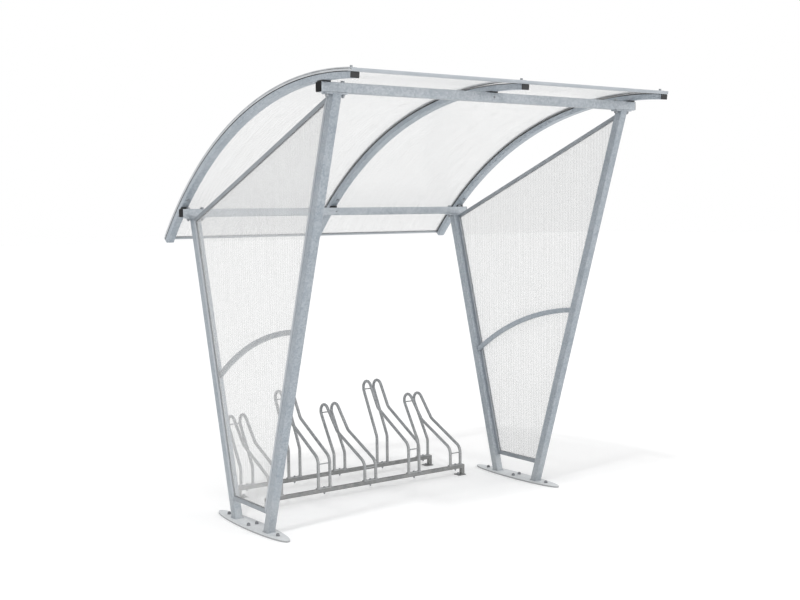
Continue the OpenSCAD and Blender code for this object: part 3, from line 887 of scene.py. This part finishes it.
def multiwall_roof(side):
    """Two thin curved skins, and ribs between them along the curve at equal distances.

    Corner (i, j, k) of the ribs is at the x of rib i, k's side of it, and at angle j on k's radius.
    """
    name = f"roof_sheet_{side}"
    lo, hi = low_high(name)
    start, end = node_angles(name, SHEET_IN + SHEET_THICK)
    angles = np.linspace(start, end, SHEET_STEPS)
    middle, width = (lo[0] + hi[0]) / 2, hi[0] - lo[0]
    inner, outer = SHEET_IN + SKIN, SHEET_IN + SHEET_THICK - SKIN
    skins = [curved_strip(width, SKIN, SKIN_CORNER, r, angles, middle, 1)
             for r in (inner - SKIN / 2, outer + SKIN / 2)]
    ribs = int(width / FLUTE_PITCH) + 1
    xs = lo[0] + RIB / 2 + np.linspace(0, width - RIB, ribs)
    a = np.radians(angles)[None, :, None]
    corner_r = np.array([inner, inner, outer, outer])
    corners = np.empty((ribs, SHEET_STEPS, 4, 3))
    corners[..., 0] = xs[:, None, None] + RIB / 2 * np.array([-1, 1, 1, -1])
    corners[..., 1] = CURVE_Y + np.sin(a) * corner_r
    corners[..., 2] = CURVE_Z + np.cos(a) * corner_r
    ends = np.array([[3, 2, 1, 0], [0, 1, 2, 3]]) + np.array([[0], [(SHEET_STEPS - 1) * 4]])
    one = np.concatenate([grid_quads(SHEET_STEPS, 4, wrap_cols=True), ends])
    quads = (one[None] + np.arange(ribs)[:, None, None] * SHEET_STEPS * 4).reshape(-1, 4)
    return skins, [outward(corners.reshape(-1, 3), quads, NO_TRIS)]


for side in ("left", "right"):
    skins, flutes = multiwall_roof(side)
    piece(f"roof_multiwall_{side}", skins, ROOF_SHEET, [f"roof_sheet_{side}"])
    piece(f"roof_flutes_{side}", flutes, ROOF_FLUTES, [f"roof_sheet_{side}"])

for name, s in SIDES.items():
    start, end = node_angles(f"cover_strip_{name}", COVER_TOP)
    strip = curved_strip(ARCH_WIDTH, COVER_THICK, COVER_CORNER, COVER_IN + COVER_THICK / 2,
                         np.linspace(start, end, STRIP_STEPS), s * ARCH_X)
    piece(f"cover_strip_{name}_profile", [strip], STRIP_ALU, [f"cover_strip_{name}"])
    screw_angles = np.linspace(start + FIRST_SCREW, end - FIRST_SCREW, STRIP_SCREWS)
    spots = zip(*arc_path(COVER_TOP, screw_angles, s * ARCH_X))
    screws = [turned(STRIP_SCREW, spot, normal, SCREW_SIDES) for spot, normal in spots]
    piece(f"strip_screws_{name}", screws, BOLT_ZINC)


WHOLE_CURVE = np.linspace(-FRONT_ANGLE, REAR_ANGLE, STRIP_STEPS)


def gasket_strips(x, inset):
    """A flat strip under the sheets, and two thin cords over them that lie in from the strip's edges."""
    shells = [curved_strip(ARCH_WIDTH - 2 * GASKET_SETBACK, LOWER_GASKET, GASKET_CORNER,
                           SHEET_IN - LOWER_GASKET / 2, WHOLE_CURVE, x)]
    for s in (-1, 1):
        shells.append(curved_strip(CORD_WIDTH, UPPER_GASKET, CORD_CORNER, COVER_IN - UPPER_GASKET / 2,
                                   WHOLE_CURVE, x + s * (ARCH_WIDTH / 2 - inset)))
    return shells


gaskets = []
for s in SIDES.values():
    gaskets += gasket_strips(s * ARCH_X, OUTER_CORD_INSET if s else MIDDLE_CORD_INSET)
piece("roof_rubber_strips", gaskets, BLACK_RUBBER, ["roof_gaskets"])

tapes = []
for s, edge in ((-1, low_high("roof_sheet_left")[0][0]), (1, low_high("roof_sheet_right")[1][0])):
    tapes.append(curved_strip(TAPE, SHEET_THICK, TAPE_CORNER, SHEET_IN + SHEET_THICK / 2, WHOLE_CURVE,
                              edge + s * TAPE / 2, 2))
piece("sheet_edge_tapes", tapes, STRIP_ALU)
finish_node("front_arch_seats", ARCH_CAP_BLACK)
finish_node("rear_arch_seats", ARCH_CAP_BLACK)
finish_node("front_edge_profile", EDGE_ALU, FRONT_PROFILE_EDGE)
finish_node("rear_edge_profile", EDGE_ALU, REAR_PROFILE_EDGE)


# ---------- side panels ----------

def corners_of(node_name):
    """The four (y, z) corners of a flat panel, anticlockwise from its lowest front corner."""
    points = np.array([v.co[1:] for v in frame["nodes"][node_name].data.vertices])
    points = np.unique(points.round(6), axis=0)
    middle = points.mean(0)
    order = np.argsort(np.arctan2(points[:, 1] - middle[1], points[:, 0] - middle[0]))
    return points[order]


def multiwall_side(side):
    """Two thin flat skins, and upright ribs between them that end on the panel's sloping edges.

    On an edge through p with inward normal n, a rib at y may run where n . ((y, z) - p) >= 0, which
    bounds z from below or above by the sign of n's z.
    """
    name = f"side_panel_{side}"
    lo, hi = low_high(name)
    corners = corners_of(name)
    middle = corners.mean(0)
    skins = []
    for x in (lo[0], hi[0] - SKIN):
        path = np.array([[x, *middle], [x + SKIN, *middle]])
        skins.append(bar(corners - middle, path, constant([0, 1, 0], 2), constant([0, 0, 1], 2)))
    edge = np.roll(corners, -1, axis=0) - corners
    normal = np.column_stack([-edge[:, 1], edge[:, 0]])
    sloping = np.abs(normal[:, 1]) > 1e-6
    p, normal = corners[sloping], normal[sloping]
    ribs = int((hi[1] - lo[1]) / FLUTE_PITCH) + 1
    y = np.linspace(lo[1] + SIDE_FLUTE_MARGIN, hi[1] - SIDE_FLUTE_MARGIN, ribs)
    ys = y[:, None] + np.array([-RIB / 2, RIB / 2])
    bound = p[:, 1] - normal[:, 0] * (ys[..., None] - p[:, 0]) / normal[:, 1]
    below = normal[:, 1] > 0
    z_low = np.where(below, bound, -np.inf).max(-1)
    z_high = np.where(~below, bound, np.inf).min(-1)
    keep = (z_high - z_low).min(-1) > SHORTEST_FLUTE
    face = np.array([0, 0, 1, 1])
    block = np.empty((keep.sum(), 8, 3))
    block[..., 0] = np.tile([lo[0] + SKIN, hi[0] - SKIN, hi[0] - SKIN, lo[0] + SKIN], 2)
    block[..., 1] = np.tile(ys[keep][:, face], 2)
    block[:, :4, 2] = z_low[keep][:, face]
    block[:, 4:, 2] = z_high[keep][:, face]
    return skins, [blocks(block)]


for side in ("left", "right"):
    skins, flutes = multiwall_side(side)
    piece(f"side_multiwall_{side}", skins, SIDE_SHEET, [f"side_panel_{side}"])
    piece(f"side_flutes_{side}", flutes, SIDE_FLUTES, [f"side_panel_{side}"])
    for channel in ("top_channel", "bottom_channel"):
        finish_node(f"{channel}_{side}", CHANNEL_ALU, CHANNEL_EDGE)
    finish_node(f"post_channels_{side}", POST_CHANNEL_ALU, CHANNEL_EDGE)


# ---------- wheel rack ----------

def meeting(p, u, q, v):
    """Where the line from p along u meets the line from q along v."""
    cross = u[0] * v[1] - u[1] * v[0]
    w = q - p
    return p + u * (w[0] * v[1] - w[1] * v[0]) / cross


def loop_corners(y0, y1, z0, rise):
    """Corners of a holder's loop: the crown's corner is where both of its tangents meet."""
    lift = 1.0 if rise > 0 else 0.0
    knee = np.array([y0, FRONT_KNEE + rise])
    shoulder = np.array([y0, rise]) + SHOULDER + lift * SHOULDER_LIFT
    crown = np.array([y0, rise + lift * CROWN_LIFT]) + CROWN
    back = np.array([y1, REAR_KNEE + rise])

    def tangent(point, sign):
        """Direction from a point to the crown's circle, passing it on one side."""
        gap = crown - point
        a = math.atan2(gap[1], gap[0]) + sign * math.asin(CROWN_RADIUS / np.linalg.norm(gap))
        return np.array([math.cos(a), math.sin(a)])

    apex = meeting(shoulder, tangent(shoulder, 1), back, tangent(back, -1))
    return np.array([[y0, z0], knee, shoulder, apex, back, [y1, z0]])


rail_y = [centre_of("rack_front_rail")[1], centre_of("rack_rear_rail")[1]]
rail_lo, rail_hi = low_high("rack_front_rail")
LEG_BASE = rail_hi[2] + FOOT_PLATE
RAIL = rail_hi[1] - rail_lo[1]


def wheel_holder(i):
    """Two bent loops on two foot plates, joined by two thin rods; each leg is welded round."""
    x = centre_of(f"wheel_holder_{i}")[0]
    rise = HIGH_RISE if i % 2 == 0 else 0.0
    lift = CROWN_LIFT if rise else 0.0
    path = rounded_path(loop_corners(*rail_y, LEG_BASE - LEG_SINK, rise),
                        [BEND_RADIUS, BEND_RADIUS, CROWN_RADIUS, BEND_RADIUS])
    shells, welds = [], []
    for s in (-1, 1):
        at = x + s * LOOP_SPACING / 2
        shells.append(bar(circle(LOOP_D / 2, LOOP_SIDES), *in_plane(path, at)))
        for y in rail_y:
            ring = circle(LOOP_D / 2 + LOOP_WELD_GAP, LOOP_WELD_POINTS) + [at, y]
            level = np.full(LOOP_WELD_POINTS, LEG_BASE + LOOP_WELD_RISE)
            welds.append(weld(np.column_stack([ring, level]), LOOP_WELD, LOOP_RIPPLES))
    span = LOOP_SPACING - LOOP_D / 2
    rods = [(rail_y[0], FRONT_KNEE + rise - ROD_UNDER_KNEE),
            (rail_y[0] + CROWN[0] + CROWN_RADIUS - ROD_INSIDE_CROWN,
             CROWN[1] - ROD_UNDER_CROWN + rise + lift)]
    for y, z in rods:
        ends = np.array([[x - span / 2, y, z], [x + span / 2, y, z]])
        shells.append(bar(circle(ROD_D / 2, ROD_SIDES), ends, constant([0, 1, 0], 2),
                          constant([0, 0, 1], 2)))
        for s in (-1, 1):
            touch = x + s * (LOOP_SPACING / 2 - LOOP_D / 2 + LOOP_WELD_GAP)
            shells.append(turned(ROD_WELD, [touch, y, z], (-s, 0, 0), ROD_SIDES))
    return shells + welds


def foot_plates(i):
    """Flat strips with broken edges on the rails, under the loops of one holder."""
    x = centre_of(f"wheel_holder_{i}")[0]
    length = LOOP_SPACING + LOOP_D + FOOT_MARGIN
    shells = []
    for y in rail_y:
        path = np.column_stack([constant([x, y], 4), rail_hi[2] + FOOT_PLATE * FOOT_LEVELS])
        shells.append(bar(rounded_rectangle(length, RAIL, RAIL_CORNER), path, constant([1, 0, 0], 4),
                          constant([0, 1, 0], 4), FOOT_SCALES))
    return shells


rack_bolts = []
for i in range(1, HOLDERS + 1):
    piece(f"holder_loops_{i}", wheel_holder(i) + foot_plates(i), LOOP_ZINC,
          [f"wheel_holder_{i}"])
    x = centre_of(f"wheel_holder_{i}")[0]
    for y in rail_y:
        rack_bolts += headed_bolt(RACK_BOLT_D, np.array([x, y, LEG_BASE]))
        rack_bolts += nutted_end(RACK_BOLT_D, np.array([x, y, rail_lo[2]]), (0, 0, -1))
piece("rack_bolts", rack_bolts, BOLT_ZINC)

for name in ("rack_front_rail", "rack_rear_rail"):
    piece(f"{name}_tube", [beam(name, RAIL_CORNER, RAIL_WALL)], RAIL_ZINC, [name])
finish_node("rack_feet", RAIL_ZINC, RACK_FEET_EDGE)


# ---------- bolts ----------

head_bolts = []
for place in ("front", "rear"):
    beam_top = low_high(f"{place}_beam")[1][2]
    for side in ("left", "right"):
        lo, hi = low_high(f"{place}_head_plate_{side}")
        x, y = (lo[0] + hi[0]) / 2, (lo[1] + hi[1]) / 2
        for s in (-1, 1):
            at = x + s * HEAD_BOLT_REACH
            head_bolts += headed_bolt(HEAD_BOLT_D, np.array([at, y, beam_top]))
            head_bolts += nutted_end(HEAD_BOLT_D, np.array([at, y, lo[2]]), (0, 0, -1), HEAD_BOLT_TIP)
piece("head_plate_bolts", head_bolts, BOLT_ZINC)


def mount_spots(name, level=None):
    """A mount's bolt places: its centre plus and minus half of each spacing, or at another level."""
    centre, dims = np.array(mounts[name]["pos_m"], float), mounts[name]["dims"]
    half = [dims.get(key, 0) / 2000 for key in ("spacing_x_mm", "spacing_y_mm")]
    signs = [(-1, 1) if h else (0,) for h in half]
    z = centre[2] if level is None else level
    return [np.array([centre[0] + sx * half[0], centre[1] + sy * half[1], z])
            for sx in signs[0] for sy in signs[1]]


anchors = []
for side in ("left", "right"):
    for spot in (mount_spots(f"{side}_end_anchors", PLATE_TOP)
                 + mount_spots(f"{side}_middle_anchors", PLATE_TOP)):
        anchors += nutted_end(ANCHOR_D, spot, tip=ANCHOR_TIP)
piece("floor_anchors", anchors, ANCHOR_ZINC)

rack_anchors = []
for spot in mount_spots("rack_anchors"):
    rack_anchors += nutted_end(RACK_ANCHOR_D, spot, tip=ANCHOR_TIP)
piece("rack_floor_anchors", rack_anchors, ANCHOR_ZINC)

profile_bolts = []
edge_angle = np.array([-FRONT_ANGLE + arc_degrees(EDGE_BOLT_BACK)])
for s in SIDES.values():
    (spot,), (normal,) = arc_path(COVER_TOP, edge_angle, s * ARCH_X)
    profile_bolts += [washer(EDGE_BOLT_D, spot, normal),
                      hexagon(EDGE_BOLT_D, EDGE_BOLT_HEAD, spot + EDGE_BOLT_SEAT * normal, normal)]
piece("edge_profile_bolts", profile_bolts, BOLT_ZINC)

set_screws = []
for place in ("front", "rear"):
    lo, hi = low_high(f"{place}_beam")
    set_screws.append(turned(SET_SCREW, [0, lo[1], (lo[2] + hi[2]) / 2], (0, -1, 0)))
piece("beam_set_screws", set_screws, ANCHOR_ZINC)

arch_bolts = []
under_radius = ARCH_RADIUS - ARCH_DEPTH
under_y = low_high("rear_beam")[0][1] - ARCH_BOLT_REACH
under_angle = math.degrees(math.asin((under_y - CURVE_Y) / under_radius))
for s in SIDES.values():
    (spot,), (normal,) = arc_path(under_radius, np.array([under_angle]), s * ARCH_X)
    arch_bolts += headed_bolt(ARCH_BOLT_D, spot, -normal)
piece("arch_bolts", arch_bolts, BOLT_ZINC)


# ---------- floor, light and camera ----------

FLOOR_REACH = 60.0
FLOOR_DROP = 0.0008
SURROUND = 0.76
# Each lamp: strength, angle of its disc in degrees, and the way its light goes.
LAMPS = {"sun": (0.7, 4, (1.26, 0.94, -2.47)), "front_fill": (1.0, 70, (-0.25, 1.0, -0.35))}
CAMERA_FROM_PLATES = np.array([-4.077, -5.7785, 1.806])
CAMERA_YAW = 35.56
CAMERA_PITCH = -4.464
CAMERA_ROLL = -0.6285
LENS_MM = 51.53


def soft_floor():
    """A wide pale floor, a little under the feet."""
    mesh = bpy.data.meshes.new("floor")
    corners = FLOOR_REACH * np.array([[-1, -1, 0], [1, -1, 0], [1, 1, 0], [-1, 1, 0]])
    mesh.from_pydata(corners.tolist(), [], [(0, 1, 2, 3)])
    floor = bpy.data.objects.new("floor", mesh)
    bpy.context.scene.collection.objects.link(floor)
    material = new_material("floor_paper", Base_Color=(0.97, 0.97, 0.97, 1), Roughness=0.9,
                            Specular_IOR_Level=0.1, Emission_Color=(1, 1, 1, 1),
                            Emission_Strength=0.07)[0]
    mesh.materials.append(material)
    floor.location.z = -FLOOR_DROP


def looking(place, direction, roll):
    """World matrix of something at a place whose -Z looks along a direction, turned by roll degrees."""
    w = np.asarray(direction, float) / np.linalg.norm(direction)
    right = np.cross(w, [0, 0, 1.0])
    right /= np.linalg.norm(right)
    up = np.cross(right, w)
    c, s = math.cos(math.radians(roll)), math.sin(math.radians(roll))
    rows = np.eye(4)
    rows[:3] = np.column_stack([right * c + up * s, up * c - right * s, -w, place])
    return Matrix(rows.tolist())


def studio():
    """White backdrop over a softer surrounding light, and the lamps."""
    world = bpy.data.worlds.new("studio")
    bpy.context.scene.world = world
    world.use_nodes = True
    tree = world.node_tree
    background = tree.nodes["Background"]
    background.inputs["Color"].default_value = (1.0, 1.0, 1.0, 1)
    seen = tree.nodes.new("ShaderNodeLightPath").outputs["Is Camera Ray"]
    brightness = maths(tree, "ADD", maths(tree, "MULTIPLY", seen, 1 - SURROUND), SURROUND)
    tree.links.new(brightness, background.inputs["Strength"])
    for name, (energy, disc, direction) in LAMPS.items():
        light = bpy.data.lights.new(name, "SUN")
        light.energy = energy
        light.angle = math.radians(disc)
        lamp = bpy.data.objects.new(name, light)
        lamp.matrix_world = looking(np.zeros(3), direction, 0.0)
        bpy.context.scene.collection.objects.link(lamp)


soft_floor()
studio()

yaw, pitch = math.radians(CAMERA_YAW), math.radians(CAMERA_PITCH)
ahead = [math.sin(yaw) * math.cos(pitch), math.cos(yaw) * math.cos(pitch), math.sin(pitch)]
lens = bpy.data.cameras.new("camera")
lens.sensor_width = 36.0
lens.lens = LENS_MM
lens.clip_end = 200.0
camera = bpy.data.objects.new("camera", lens)
bpy.context.scene.collection.objects.link(camera)
plates_y = centre_of("base_plate_left")[1]
camera.matrix_world = looking(CAMERA_FROM_PLATES + [0, plates_y, 0], ahead, CAMERA_ROLL)
bpy.context.scene.camera = camera

bpy.context.scene.view_settings.view_transform = "Standard"
bpy.context.scene.cycles.transparent_max_bounces = 32
